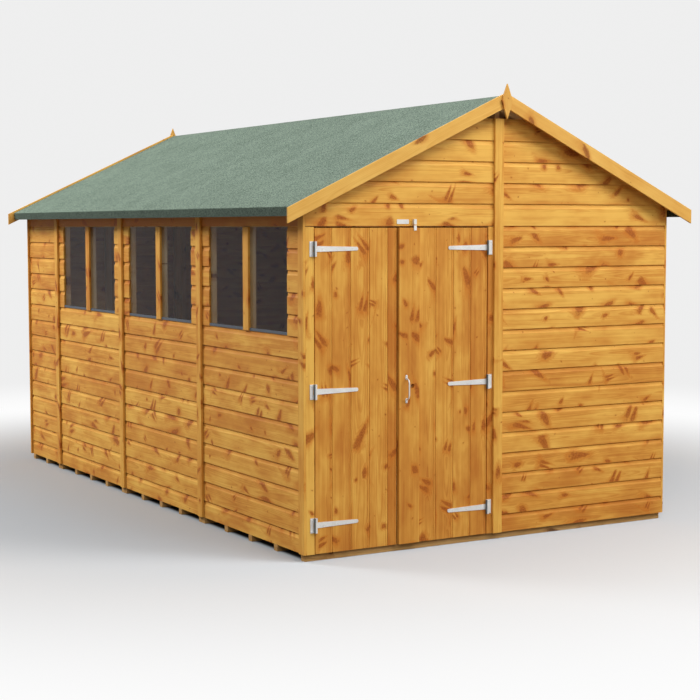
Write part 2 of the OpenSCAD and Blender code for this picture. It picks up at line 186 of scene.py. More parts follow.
pinKnots = {"cellLong": 0.075, "cellWide": 0.05, "small": 0.0016, "large": 0.0045,
            "longest": 2.2, "pairs": 0.0, "share": 0.17}
knotShape = {"scatter": 0.95, "slant": 2.4, "pairThin": 0.35, "pairGap": 1.7, "pairLong": 1.6, "blunt": 8,
             "raggedGrain": 0.42, "ragged": 1.3, "fleckGrain": 130, "heart": 0.6, "bark": 0.45}


def knotsIn(along, across, pith, plan, knotty):
    # at most one slanted knot, or a pair of strokes, in each cell
    p, small = knotShape, plan["small"]
    knotX, knotY = along / plan["cellLong"], across / plan["cellWide"] + pith * 7
    flat = {"voronoi_dimensions": "2D"}
    cells = {"Vector": knotX.point(knotY), "Scale": 1.0, "Randomness": p["scatter"]}
    cell = along.add("ShaderNodeTexVoronoi", flat, cells, "Position")
    rim = along.add("ShaderNodeTexVoronoi", {**flat, "feature": "DISTANCE_TO_EDGE"}, cells)
    cellX, cellY = cell.parts()[:2]
    turnDice, sizeDice, hereDice = cell.other("Color").parts()
    pairDice, longDice = (turnDice * 5.3).maths("FRACT"), (sizeDice * 3.7).maths("FRACT")

    awayX, awayY = (knotX - cellX) * plan["cellLong"], (knotY - cellY) * plan["cellWide"]
    turn = (turnDice - 0.5) * p["slant"]
    cosine, sine = turn.maths("COSINE"), turn.maths("SINE")
    runX, runY = awayX * cosine + awayY * sine, awayY * cosine - awayX * sine
    paired = pairDice.maths("LESS_THAN", plan["pairs"])
    radius = (sizeDice ** 2 * (plan["large"] - small) + small) * (1 - paired * p["pairThin"])
    runY = runY.maths("ABSOLUTE") * paired + runY * (1 - paired) - paired * radius * p["pairGap"]
    stretch = longDice * (plan["longest"] - 1) + 1.0 + paired * p["pairLong"]
    taper = runX / (radius * p["blunt"]) + 1.0  # one end is blunter than the other
    ragged = along.point(across).noise(p["raggedGrain"] / small, 3, 0.6) - 0.5
    away = ((runX / stretch) ** 2 + (runY * taper) ** 2) ** 0.5 / radius + ragged * p["ragged"]

    here = hereDice.maths("LESS_THAN", knotty * plan["share"]) * rim.fade(0.02, 0.18)  # gone by the next cell
    flecks = along.point(across).noise(p["fleckGrain"], 2, 0.6).fade(0.3, 0.7, 0.45, 1.15)
    heart = (away + ragged).fade(0.1, 0.7, 1.0, 0.0)
    bark = away.fade(0.3, 0.8) * away.fade(0.85, 1.25, 1.0, 0.0)  # a darker rim round the knot
    knot = away.fade(0.62, 1.12, 1.0, 0.0) * flecks * here
    dark = (heart * p["heart"] + bark * p["bark"]) * flecks * here
    halo = away.fade(0.7, 2.8, 1.0, 0.0) * here
    return knot, dark, halo


grainPlan = {
    "waver": (0.7, 3, 40), "wobble": (2, 30, 9), "streak": (1.3, 46, 31), "cloud": (3.2, 9, 23),
    "fibre": (14, 420, 420), "pithWaver": 0.09, "pithDeep": 0.05, "pithLeast": 0.004, "offCentre": 0.07,
    "roundKnots": 0.009, "ringWobble": 1.2, "streaky": 0.85, "lateDark": 0.22, "cloudy": 1.4, "mean": 0.36,
    "blotchy": 0.4, "haloShow": 0.72, "pinHalo": 0.25, "knotShow": 0.85, "coreShow": 0.9, "pinCore": 0.5,
    "bump": 0.28, "bumpDeep": 0.0012, "gloss": 0.22,
}


def woodFinish(name):
    look, g = woodLooks[name], grainPlan
    material, wire = newFinish(name)
    grain = wire.add("ShaderNodeAttribute", {"attribute_name": "grain"}, None, "Vector")
    mark = wire.add("ShaderNodeAttribute", {"attribute_name": "mark"}, None, "Vector")
    along, across, depth = grain.parts()
    tone, pith, stain = mark.parts()
    knot, dark, halo = knotsIn(along, across, pith, branchKnots, look["knotty"])
    pin, pinDark, pinHalo = knotsIn(along, across, stain, pinKnots, look["knotty"])

    def drawnOut(pattern, third, detail, roughness=0.5):  # noise that runs along the board
        run, wide, deep = g[pattern]
        return (along * run).point(across * wide, third * deep).noise(1.0, detail, roughness)

    waver, wobble = drawnOut("waver", pith, 2) - 0.5, drawnOut("wobble", pith, 1)
    streak, cloud = drawnOut("streak", pith, 3, 0.55), drawnOut("cloud", tone, 3, 0.6)
    fibre = drawnOut("fibre", depth, 2)

    # year rings round a pith that wavers behind the face and bends round the knots
    core = waver * g["pithWaver"] + pith * g["pithDeep"] + g["pithLeast"]
    offset = across + (tone - 0.5) * g["offCentre"]
    ringRadius = (offset ** 2 + core ** 2) ** 0.5 + halo * g["roundKnots"]
    ring = (ringRadius / look["ring"] + wobble * g["ringWobble"]).maths("FRACT")
    late = ring.fade(0.35, 0.9) * ring.fade(0.9, 1.0, 1.0, 0.0)

    shade = ((tone - 0.5) * look["spread"] + (streak - 0.5) * g["streaky"] + late * g["lateDark"]
             + (cloud - 0.5) * g["cloudy"] + g["mean"])
    blotch = (cloud * stain).fade(0.3, 0.62) * g["blotchy"]
    colour = shade.ramp((0.0, look["pale"]), (0.5, look["warm"]), (1.0, look["deep"]))
    colour = colour.blend(look["deep"], blotch)
    colour = colour.blend(look["halo"], halo * g["haloShow"] + pinHalo * g["pinHalo"])
    colour = colour.blend(look["knot"], (knot + pin) * g["knotShow"])
    colour = colour.blend(look["core"], (dark + pinDark * g["pinCore"]) * g["coreShow"])
    height = streak * 0.35 + late * 0.3 + fibre * 0.25 - knot * 0.4
    coatWith(wire, {"Base Color": colour, "Roughness": late * 0.06 + fibre * 0.1 + look["rough"],
                    "Normal": height.bump(g["bump"], g["bumpDeep"]), "Specular IOR Level": g["gloss"]})
    return material


feltPlan = {"grit": 420, "speck": 130, "patch": 5.5, "speckShow": 0.75, "gritShow": 0.25, "patchShow": 0.4,
            "rough": 0.82, "gloss": 0.2, "bump": 0.5, "bumpDeep": 0.002}


def feltFinish(name, pale, dark):
    p, (material, wire) = feltPlan, newFinish(name)
    place = objectPlace(wire)
    grit, speck = place.noise(p["grit"], 2, 0.6), place.noise(p["speck"], 3, 0.65)
    patch = place.noise(p["patch"], 3, 0.55)
    shade = (speck.fade(0.36, 0.64) * p["speckShow"] + grit.fade(0.3, 0.7) * p["gritShow"]
             + (patch - 0.5) * p["patchShow"])
    height = grit * 0.6 + speck * 0.5 + patch * 1.5
    coatWith(wire, {"Base Color": shade.ramp((0.0, dark), (1.0, pale)), "Roughness": grit * 0.15 + p["rough"],
                    "Specular IOR Level": p["gloss"], "Normal": height.bump(p["bump"], p["bumpDeep"])})
    return material


zincPlan = {"dull": paint(208, 206, 202), "bright": paint(238, 236, 231), "flankShade": paint(66, 76, 82),
            "plateFace": 0.005, "flank": -0.0045, "soft": 0.0015, "faceSoft": 0.001, "flankShadeShow": 0.92,
            "spangle": 140, "smear": 18, "metallic": 0.25, "rough": 0.3, "bump": 0.08, "bumpDeep": 0.0008}
leftPin, rightPin = (Vector(j["pos_m"]) for j in frame["record"]["behaviour"]["joints"])


def zincFinish(name, knuckles):
    p, (material, wire) = zincPlan, newFinish(name)
    place = objectPlace(wire)
    spangle, smear = place.noise(p["spangle"], 2), place.noise(p["smear"], 2)
    colour = (spangle * 0.5 + smear * 0.5).ramp((0.2, p["dull"]), (0.8, p["bright"]))
    if knuckles:  # painted shade down the left flank of each rolled knuckle, the side away from the front lamp
        sideways, forward = place.parts()[:2]
        rightHand = sideways.maths("GREATER_THAN", (leftPin.x + rightPin.x) / 2)
        fromPin = sideways - (rightHand * (rightPin.x - leftPin.x) + leftPin.x)
        face, flank, soft = leftPin.y + p["plateFace"], p["flank"], p["soft"]
        flankShade = (fromPin.fade(flank - soft, flank + soft, 1.0, 0.0)
                * forward.fade(face, face + p["faceSoft"], 1.0, 0.0))
        colour = colour.blend(p["flankShade"], flankShade * p["flankShadeShow"])
    coatWith(wire, {"Base Color": colour, "Metallic": p["metallic"], "Roughness": smear * 0.2 + p["rough"],
                    "Normal": spangle.bump(p["bump"], p["bumpDeep"])})
    return material


glassPlan = {"tint": paint(26, 29, 34), "film": 2.2, "filmShow": 0.06, "least": 0.14,
             "rough": 0.03, "gloss": 0.6}


def glassFinish(name):
    p, (material, wire) = glassPlan, newFinish(name)
    film = objectPlace(wire).noise(p["film"], 2)
    coatWith(wire, {"Base Color": p["tint"], "Roughness": film * 0.06 + p["rough"],
                    "Alpha": film * p["filmShow"] + p["least"], "Specular IOR Level": p["gloss"],
                    "Normal": film.bump(0.02, 0.01)})
    return material


beadPlan = {"dark": paint(34, 40, 48), "worn": paint(70, 80, 92), "wear": 60, "rough": 0.35, "edge": 0.002}


def beadFinish(name):
    p, (material, wire) = beadPlan, newFinish(name)
    wear = objectPlace(wire).noise(p["wear"], 3)
    coatWith(wire, {"Base Color": wear.ramp((0.3, p["dark"]), (0.75, p["worn"])),
                    "Roughness": wear * 0.2 + p["rough"], "Normal": wear.bump(0.1, 0.001)})
    return material


honeyBoards, paleTrim, sawnFrame, bearerWood = (woodFinish(n) for n in woodLooks)
roofFelt = feltFinish("roofFelt", paint(134, 152, 135), paint(50, 67, 56))
# the turned-down eaves band is a darker copy of the roof felt, painted shade
shadedEavesFelt = feltFinish("shadedEavesFelt", paint(86, 100, 87), paint(34, 46, 39))
brightZinc, hingeZinc = zincFinish("brightZinc", False), zincFinish("hingeZinc", True)
windowGlass, darkBead = glassFinish("windowGlass"), beadFinish("darkBead")
print("finishes mixed")

edgePlan = {"planed": 0.0015, "sawn": 0.002, "roundFrom": 0.5, "creaseFrom": math.radians(32)}
planedEdge, sawnEdge = edgePlan["planed"], edgePlan["sawn"]


def gather(pile, one):  # adds one board to the pile
    sheet = bpy.data.meshes.new("sheet")
    one.to_mesh(sheet)
    one.free()
    pile.from_mesh(sheet)
    bpy.data.meshes.remove(sheet)


def setPiece(name, pile, finish, body, slot, *nodes):
    mesh = bpy.data.meshes.new(name)
    pile.to_mesh(mesh)
    pile.free()
    mesh.materials.append(finish)
    mesh.shade_smooth()
    mesh.set_sharp_from_angle(angle=edgePlan["creaseFrom"])
    thing = bpy.data.objects.new(name, mesh)
    scene.collection.objects.link(thing)
    flat = thing.modifiers.new("flatFaces", "WEIGHTED_NORMAL")  # broad faces stay flat beside rounded edges
    flat.keep_sharp = True
    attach(thing, body)
    if nodes:
        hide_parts(*nodes)


class Stack:  # boards that are gathered into one piece, each with a tone between two ends
    def __init__(self, name, palest=0.0, darkest=1.0):
        self.name, self.pile = name, bmesh.new()
        self.palest, self.darkest, self.count = palest, darkest, 0

    def lay(self, one, middle, along, across, tone=None):
        if not one.faces:
            one.free()
            return
        grain = one.verts.layers.float_vector.new("grain")
        mark = one.verts.layers.float_vector.new("mark")
        outward, shift = along.cross(across), dice.uniform(0, 60)
        if tone is None:
            tone = dice.uniform(self.palest, self.darkest)
        own = Vector((tone, dice.random(), dice.random()))
        for v in one.verts:
            away = v.co - middle
            v[grain] = (away.dot(along) + shift, away.dot(across), away.dot(outward))
            v[mark] = own
        bmesh.ops.recalc_face_normals(one, faces=one.faces)
        gather(self.pile, one)
        self.count += 1

    def done(self, finish, body, slot, *nodes):
        setPiece(self.name, self.pile, finish, body, slot, *nodes)


def freshVerts(made):  # the vertices among what an operator made
    return [g for g in made if isinstance(g, bmesh.types.BMVert)]


def drawOut(one, faces, step):
    drawn = bmesh.ops.extrude_face_region(one, geom=faces)
    bmesh.ops.translate(one, verts=freshVerts(drawn["geom"]), vec=step)


def saw(one, point, normal):  # cuts away what lies on the normal's side and closes the cut
    found = bmesh.ops.bisect_plane(one, geom=one.verts[:] + one.edges[:] + one.faces[:], dist=1e-6,
                                   plane_co=point, plane_no=normal, clear_outer=True)
    rim = [e for e in found["geom_cut"] if isinstance(e, bmesh.types.BMEdge)]
    if rim:
        bmesh.ops.edgeloop_fill(one, edges=rim)


def soften(one, radius):
    bent = [e for e in one.edges if len(e.link_faces) == 2 and e.calc_face_angle(0) > edgePlan["roundFrom"]]
    bmesh.ops.bevel(one, geom=bent, offset=radius, offset_type="OFFSET", affect="EDGES", segments=2,
                    profile=0.5, material=-1, clamp_overlap=True)


def plainBoard(low, high, radius=planedEdge):
    one = bmesh.new()
    bmesh.ops.create_cube(one, size=1.0)
    bmesh.ops.scale(one, verts=one.verts, vec=[high[i] - low[i] for i in range(3)])
    bmesh.ops.translate(one, verts=one.verts, vec=[(high[i] + low[i]) / 2 for i in range(3)])
    if radius:
        soften(one, radius)
    return one


def layPlank(stack, low, high, radius=planedEdge, tone=None):  # the grain runs along the longest side
    low, high = Vector(low), Vector(high)
    size = high - low
    order = sorted(range(3), key=lambda i: -size[i])
    along, across = ([xAxis, yAxis, zAxis][i] for i in order[:2])
    stack.lay(plainBoard(low, high, radius), (low + high) / 2, along, across, tone)


def boardFrom(outline, length):  # outline in (across, outward), drawn out along x
    one = bmesh.new()
    face = one.faces.new([one.verts.new((0.0, a, o)) for a, o in outline])
    drawOut(one, [face], (length, 0, 0))
    return one


def standUp(one, origin, along, across):
    basis = Matrix((along, across, along.cross(across))).transposed().to_4x4()
    bmesh.ops.transform(one, matrix=Matrix.Translation(origin) @ basis, verts=one.verts)


shiplap = {"scoopHigh": 0.0225, "scoopFlat": 0.004, "scoopDeep": 0.0050, "steps": 6, "shoulder": 0.003,
           "neck": 0.002, "tongue": 0.009, "lip": 0.0074, "slot": 0.0042, "edge": 0.0016, "edgeBend": 0.3,
           "clear": 0.0004, "play": 0.001, "palest": 0.15, "darkest": 0.85, "eavesShadeTone": 1.5}


def shiplapOutline(high):  # a round scoop down from the lap, and a lip that stands over the board below
    p = shiplap
    reach, deep, foot, edge = p["scoopHigh"] - p["scoopFlat"], p["scoopDeep"], p["slot"], p["edge"]
    opening = 2 * math.atan(deep / reach)
    radius = reach / math.sin(opening)
    turns = [opening * (1 - k / p["steps"]) for k in range(p["steps"] + 1)]
    scoop = [(high - p["scoopFlat"] - radius * math.sin(t), radius * (1 - math.cos(t)) - deep) for t in turns]
    bend = edge * p["edgeBend"]
    lip = [(foot, -p["lip"]), (foot, -edge), (foot + bend, -bend), (foot + edge, 0)]
    behind, over = p["lip"] + p["clear"], p["tongue"] + p["play"]
    tongue = [(high - p["shoulder"], -deep), (high - p["neck"], -behind),
              (high + p["tongue"], -behind), (high + p["tongue"], -boardThick)]
    return lip + scoop + tongue + [(over, -boardThick), (over, -p["lip"])]


def lapHeight(step, lift):  # height of a board's foot; the gables are lifted a little above the doors
    return shedPlan["firstLap"] + (step - 1) * course + (lift if step > shedPlan["headCourse"] else 0)


def layShiplap(stack, start, end, step, cuts, tone=None, lift=0):
    # one board from start to end, both points on the wall's face at the ground
    along = (end - start).normalized()
    foot, top = lapHeight(step, lift), lapHeight(step + 1, lift)
    one = boardFrom(shiplapOutline(top - foot), (end - start).length)
    standUp(one, start + zAxis * foot, along, zAxis)
    for point, normal in cuts:
        saw(one, point, normal)
    stack.lay(one, (start + end) / 2 + zAxis * (foot + top) / 2, along, zAxis, tone)


wallCap, wallFoot = (Vector((0, 0, wallTop)), zAxis), (Vector((0, 0, boardFoot)), -zAxis)
sillCut = (Vector((0, 0, sillHeight)), zAxis)


def sideWall(name, side, nodes):
    wall, face = Stack(name, shiplap["palest"], shiplap["darkest"]), side * halfWidth
    pier = shedPlan["pierWidth"]
    sillCourse, headCourse = shedPlan["sillCourse"], shedPlan["headCourse"]
    lastPanel = len(panelEdges) - 2
    for k in range(lastPanel + 1):
        front = -innerY if k == 0 else panelEdges[k] + jointGap
        back = innerY if k == lastPanel else panelEdges[k + 1] - jointGap
        for step in range(math.ceil((wallTop - boardFoot) / course)):
            runs, cuts = [(front, back)], [wallFoot, wallCap]
            if side < 0 and k < shedPlan["windowPanels"]:
                if sillCourse <= step < headCourse:
                    runs = [(front, panelEdges[k] + pier), (panelEdges[k + 1] - pier, back)]
                elif step < sillCourse:
                    cuts.append(sillCut)
            for y0, y1 in runs:
                ends = [Vector((face, y, 0)) for y in (y0, y1)]
                # boards from the head course up take a darker tone, painted shade from the eaves
                layShiplap(wall, *(ends if side > 0 else ends[::-1]), step, cuts,
                           shiplap["eavesShadeTone"] if step >= headCourse else None)
    print(name, wall.count, "boards")
    wall.done(honeyBoards, "shed", "boards", *nodes)


sideWall("leftWallBoards", -1, ["left_wall_lower", "left_wall_piers", "left_wall_head"])
sideWall("rightWallBoards", 1, ["right_wall"])

roofCuts = [(Vector((side * halfWidth, 0, wallTop)), Vector((side * math.sin(pitch), 0, math.cos(pitch))))
            for side in (1, -1)]
peakCut = (Vector((0, 0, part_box("front_panel")[1].z)), zAxis)
leftHalf, rightHalf = (-halfWidth, -jointGap), (jointGap, halfWidth)
gableTones = {"plain": (0.1, 0.8), "header": (-0.1, 0.4)}


def gableWall(name, facing, spans, firstStep, node, tones):
    wall = Stack(name, *tones)
    for x0, x1 in spans:
        for step in range(firstStep, math.ceil((peakCut[0].z - boardFoot) / course)):
            ends = [Vector((x, facing * halfLength, 0)) for x in (x0, x1)]
            layShiplap(wall, *(ends if facing < 0 else ends[::-1]), step, roofCuts + [peakCut, wallFoot],
                       lift=shedPlan["gableLift"])
    print(name, wall.count, "boards")
    wall.done(honeyBoards, "shed", "boards", node)


gableWall("frontPanelBoards", -1, [rightHalf], 0, "front_panel", gableTones["plain"])
gableWall("headerBoards", -1, [leftHalf], shedPlan["headCourse"], "front_header", gableTones["header"])
gableWall("backWallBoards", 1, [leftHalf, rightHalf], 0, "back_wall", gableTones["plain"])


def solidBoxes(node):  # the lowest and highest corners of each solid in a node
    one = bmesh.new()
    one.from_mesh(frame["nodes"][node].data)
    bmesh.ops.remove_doubles(one, verts=one.verts, dist=1e-6)
    boxes, left = [], set(one.verts)
    while left:
        group, border = set(), [left.pop()]
        while border:
            v = border.pop()
            group.add(v)
            for e in v.link_edges:
                w = e.other_vert(v)
                if w in left:
                    left.discard(w)
                    border.append(w)
        boxes.append(tuple(Vector([pick(v.co[i] for v in group) for i in range(3)]) for pick in (min, max)))
    one.free()
    return sorted(boxes, key=lambda b: tuple(b[0]))


def plankNode(name, node, finish, slot, body="shed", palest=0.0, darkest=1.0):
    stack = Stack(name, palest, darkest)
    for low, high in solidBoxes(node):
        layPlank(stack, low, high, sawnEdge)
    stack.done(finish, body, slot, node)


plankNode("coverStrips", "cover_strips", honeyBoards, "boards", palest=0.2, darkest=0.6)
jambs, jambToneAndShade = Stack("doorJambs"), (-0.1, 0.8)  # the right one is darker, painted shade from the cover strip beside it
for (low, high), tone in zip(solidBoxes("door_jambs"), jambToneAndShade):
    layPlank(jambs, low, high, tone=tone)
jambs.done(honeyBoards, "shed", "boards", "door_jambs")
plankNode("windowMullions", "window_mullions", honeyBoards, "boards")
for name, node in (("framePosts", "wall_posts"), ("frameRails", "wall_rails"), ("ridgeBeam", "ridge_beam")):
    plankNode(name, node, sawnFrame, "frame_wood")
plankNode("leftLedges", "left_leaf_ledges", sawnFrame, "frame_wood", "left_leaf")

floorPlan = {"board": 0.112, "least": 0.01, "edge": 0.0012}
deckLow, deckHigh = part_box("floor_deck")
deck, nearX = Stack("floorDeck"), deckLow.x
while nearX < deckHigh.x - floorPlan["least"]:
    farX = min(nearX + floorPlan["board"], deckHigh.x)
    layPlank(deck, (nearX, deckLow.y, deckLow.z), (farX, deckHigh.y, deckHigh.z), floorPlan["edge"])
    nearX += floorPlan["board"]
deck.done(sawnFrame, "shed", "frame_wood", "floor_deck")


def slantPlank(stack, corners, thickLow, thickHigh, along, across, radius=sawnEdge, tone=None):
    # a board whose outline is given in x and z, between two y planes
    one = bmesh.new()
    face = one.faces.new([one.verts.new((cx, thickLow, cz)) for cx, cz in corners])
    drawOut(one, [face], (0, thickHigh - thickLow, 0))
    bmesh.ops.recalc_face_normals(one, faces=one.faces)
    soften(one, radius)
    middleX, middleZ = (sum(c[i] for c in corners) / len(corners) for i in (0, 1))
    stack.lay(one, Vector((middleX, (thickLow + thickHigh) / 2, middleZ)), along, across, tone)


bearers = Stack("floorBearers", palest=0.2, darkest=0.9)
for low, high in solidBoxes("floor_bearers"):  # the side boards stand on the rebated ends
    half = [(halfWidth, low.z), (halfWidth, boardFoot), (innerX, boardFoot), (innerX, high.z)]
    slantPlank(bearers, half + [(-cx, cz) for cx, cz in half[::-1]], low.y, high.y, xAxis, zAxis, planedEdge)
bearers.done(bearerWood, "shed", "frame_wood", "floor_bearers")

roofPlan = {"board": 0.112, "boardLap": 0.01, "boardEdge": 0.0012, "bargeWidth": 0.071, "bargeUp": 0.012,
            "bargeGap": 0.001, "rafterFace": 0.044, "rafterThick": 0.038, "rafterEdge": 0.001,
            "ridgeThick": 0.030, "purlinsAt": (0.4, 0.8), "purlinDrop": 0.06}
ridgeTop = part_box("roof_felt_right")[1].z


def feltTop(x):
    return ridgeTop - abs(x) * slope


def rafterTop(x):
    return wallTop + (halfWidth - x) * slope


def downSlope(side):
    return Vector((side * math.cos(pitch), 0, -math.sin(pitch)))


def bargeboards(name, node):
    low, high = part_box(node)
    stack = Stack(name)
    rise = roofPlan["bargeUp"] / math.cos(pitch)
    drop = roofPlan["bargeWidth"] / math.cos(pitch) - rise
    for side in (-1, 1):
        x0, x1, run = side * roofPlan["bargeGap"], side * high.x, downSlope(side)
        outline = [(x0, feltTop(x0) + rise), (x1, feltTop(x1) + rise),
                   (x1, feltTop(x1) - drop), (x0, feltTop(x0) - drop)]
        slantPlank(stack, outline, low.y, high.y, run, run.cross(yAxis))
    stack.done(paleTrim, "shed", "trim_wood", node)


bargeboards("frontBargeboards", "front_bargeboards")
bargeboards("backBargeboards", "back_bargeboards")

finialPlan = {"high": 0.190, "wide": 0.071, "middle": 0.098, "tone": 0.35}
finials, (finialLow, finialHigh) = Stack("finials"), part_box("finials")
foot, half = finialHigh.z - finialPlan["high"], finialPlan["wide"] / 2
waist = foot + finialPlan["middle"]
bargeFront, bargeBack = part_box("front_bargeboards")[0].y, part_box("back_bargeboards")[1].y
for y0, y1 in ((finialLow.y, bargeFront), (bargeBack, finialHigh.y)):
    slantPlank(finials, [(0, foot), (half, waist), (0, finialHigh.z), (-half, waist)], y0, y1, zAxis, xAxis,
               planedEdge, finialPlan["tone"])
finials.done(paleTrim, "shed", "trim_wood", "finials")

rafters, rafterThick = Stack("gableRafters"), roofPlan["rafterThick"]
drop, ridgeHalf = roofPlan["rafterFace"] / math.cos(pitch), roofPlan["ridgeThick"] / 2
for y0, y1 in ((-innerY, -innerY + rafterThick), (innerY - rafterThick, innerY)):
    for side in (-1, 1):
        outline = [(ridgeHalf, rafterTop(ridgeHalf)), (innerX, rafterTop(innerX)), (innerX, wallTop),
                   (halfWidth - drop / slope, wallTop), (ridgeHalf, rafterTop(ridgeHalf) - drop)]
        run = downSlope(side)
        slantPlank(rafters, [(side * cx, cz) for cx, cz in outline], y0, y1, run, run.cross(yAxis),
                   roofPlan["rafterEdge"])
rafters.done(sawnFrame, "shed", "frame_wood", "gable_rafters")


def roofBoards(name, node, side):
    stack, wide, lap = Stack(name), roofPlan["board"], roofPlan["boardLap"]
    low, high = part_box(node)
    edgeX, length = (high.x if side > 0 else low.x), high.y - low.y
    down, along = downSlope(side), (-yAxis if side > 0 else yAxis)
    top = Vector((0, high.y if side > 0 else low.y, high.z))
    for k in range(math.ceil((abs(edgeX) / math.cos(pitch) + 2 * lap) / wide)):
        one = plainBoard((0, 0, -boardThick), (length, wide, 0), roofPlan["boardEdge"])
        origin = top + down * (k * wide - lap)
        standUp(one, origin, along, down)
        saw(one, Vector((0, 0, 0)), Vector((-side, 0, 0)))  # at the ridge
        saw(one, Vector((edgeX, 0, 0)), Vector((side, 0, 0)))  # at the eaves
        stack.lay(one, origin + along * length / 2 + down * wide / 2, along, down)
    stack.done(sawnFrame, "shed", "frame_wood", node)


roofBoards("roofBoardsLeft", "roof_deck_left", -1)
roofBoards("roofBoardsRight", "roof_deck_right", 1)
print("roof boarded")

purlins = Stack("roofPurlins")
purlinLow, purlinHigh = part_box("roof_purlins")
for x in roofPlan["purlinsAt"]:
    near, far, foot = x - ridgeHalf, x + ridgeHalf, rafterTop(x) - roofPlan["purlinDrop"]
    outline = [(near, rafterTop(near)), (far, rafterTop(far)), (far, foot), (near, foot)]
    for side in (-1, 1):
        slantPlank(purlins, [(side * cx, cz) for cx, cz in outline], purlinLow.y, purlinHigh.y, yAxis, zAxis)
purlins.done(sawnFrame, "shed", "frame_wood", "roof_purlins")

beads = bmesh.new()
for low, high in solidBoxes("window_beads"):
    gather(beads, plainBoard(low, high, beadPlan["edge"]))
setPiece("windowBeads", beads, darkBead, "shed", "bead", "window_beads")

leafPlan = {
    "leftEdges": (0, 0.100, 0.212, 0.323, 0.434, 0.490),
    "rightEdges": (0, 0.0145, 0.126, 0.237, 0.3485, 0.461, 0.5665),
    "palest": 0.42, "darkest": 0.95, "stripShadowTone": 1.05, "stripTone": 0.75, "braceWide": 0.110,
    "veeLit": 0.0036, "veeShade": 0.0016,
    "lineAt": 0.013, "lineHalf": 0.0016, "lineDeep": 0.0016, "lineFrom": 0.05,
    "keyRadius": 0.0125, "keyIn": 0.082, "keyUp": 0.836, "bitLong": 0.4,
}
stripLow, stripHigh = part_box("closing_strip")
keyHole = Vector((stripLow.x + leafPlan["keyIn"], 0, stripLow.z + leafPlan["keyUp"]))
faceFront = Matrix.Rotation(math.pi / 2, 4, "X")  # turns a round that faces up towards the front


def matchOutline(width):  # an upright tongued board with a V at both edges and a sunk bead line
    p, line = leafPlan, []
    lit, shade, at, half = p["veeLit"], p["veeShade"], p["lineAt"], p["lineHalf"]
    if width > p["lineFrom"]:
        line = [(at - half, 0), (at, -p["lineDeep"]), (at + half, 0)]
    return ([(0, -boardThick), (0, -lit), (lit, 0)] + line
            + [(width - shade, 0), (width, -shade), (width, -boardThick)])


def drill(one):  # the key hole, cut with a round cutter that is thrown away
    bit = bmesh.new()
    bmesh.ops.create_cone(bit, cap_ends=True, segments=32, radius1=leafPlan["keyRadius"],
                          radius2=leafPlan["keyRadius"], depth=leafPlan["bitLong"],
                          matrix=Matrix.Translation((keyHole.x, -halfLength, keyHole.z)) @ faceFront)
    bmesh.ops.recalc_face_normals(one, faces=one.faces)
    things = []
    for name, form in (("blank", one), ("drillBit", bit)):
        mesh = bpy.data.meshes.new(name)
        form.to_mesh(mesh)
        things.append(bpy.data.objects.new(name, mesh))
        scene.collection.objects.link(things[-1])
    bit.free()
    cutter = things[0].modifiers.new("hole", "BOOLEAN")
    cutter.object, cutter.operation, cutter.solver = things[1], "DIFFERENCE", "EXACT"
    cutMesh = bpy.data.meshes.new_from_object(things[0].evaluated_get(bpy.context.evaluated_depsgraph_get()))
    one.clear()
    one.from_mesh(cutMesh)
    for mesh in [thing.data for thing in things] + [cutMesh]:
        bpy.data.meshes.remove(mesh)  # takes its object along


def leafBoards(name, node, body, edges, lastTone):
    stack = Stack(name, leafPlan["palest"], leafPlan["darkest"])
    low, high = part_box(node)
    for x0, x1 in zip(edges, edges[1:]):
        one = boardFrom(matchOutline(x1 - x0), high.z - low.z)
        standUp(one, Vector((low.x + x1, low.y, low.z)), zAxis, -xAxis)
        if low.x + x0 < keyHole.x < low.x + x1:
            drill(one)
        middle = Vector((low.x + (x0 + x1) / 2, low.y, (low.z + high.z) / 2))
        stack.lay(one, middle, zAxis, -xAxis, lastTone if x1 == edges[-1] else None)
    stack.done(honeyBoards, body, "boards", node)


# the left leaf's last board takes a darker tone, painted shadow from the closing strip
leafBoards("leftLeafBoards", "left_leaf_boards", "left_leaf", leafPlan["leftEdges"], leafPlan["stripShadowTone"])
leafBoards("rightLeafBoards", "right_leaf_boards", "right_leaf", leafPlan["rightEdges"], None)

strip, one = Stack("closingStrip"), plainBoard(stripLow, stripHigh, sawnEdge)
drill(one)
strip.lay(one, (stripLow + stripHigh) / 2, zAxis, -xAxis, leafPlan["stripTone"])
strip.done(honeyBoards, "right_leaf", "boards", "closing_strip")

ledges = Stack("rightLedges")
for low, high in solidBoxes("right_leaf_ledges"):
    one = plainBoard(low, high, sawnEdge)
    if low.z < keyHole.z < high.z:
        drill(one)
    ledges.lay(one, (low + high) / 2, xAxis, zAxis)
ledges.done(sawnFrame, "right_leaf", "frame_wood", "right_leaf_ledges")
print("leaves boarded")


def braces(name, node, body, side):
    stack, wide = Stack(name), side * leafPlan["braceWide"]
    low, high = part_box(node)
    x0, x1 = (low.x, high.x) if side > 0 else (high.x, low.x)
    rungs = sorted(solidBoxes("left_leaf_ledges"), key=lambda b: b[0].z)
    for lower, upper in zip(rungs, rungs[1:]):
        z0, z1 = lower[1].z, upper[0].z
        run = Vector((x1 - x0 - wide, 0, z1 - z0)).normalized()
        slantPlank(stack, [(x0, z0), (x0 + wide, z0), (x1, z1), (x1 - wide, z1)], low.y, high.y,
                   run, run.cross(yAxis), planedEdge)
    stack.done(sawnFrame, body, "frame_wood", node)


braces("leftBraces", "left_leaf_braces", "left_leaf", 1)
braces("rightBraces", "right_leaf_braces", "right_leaf", -1)

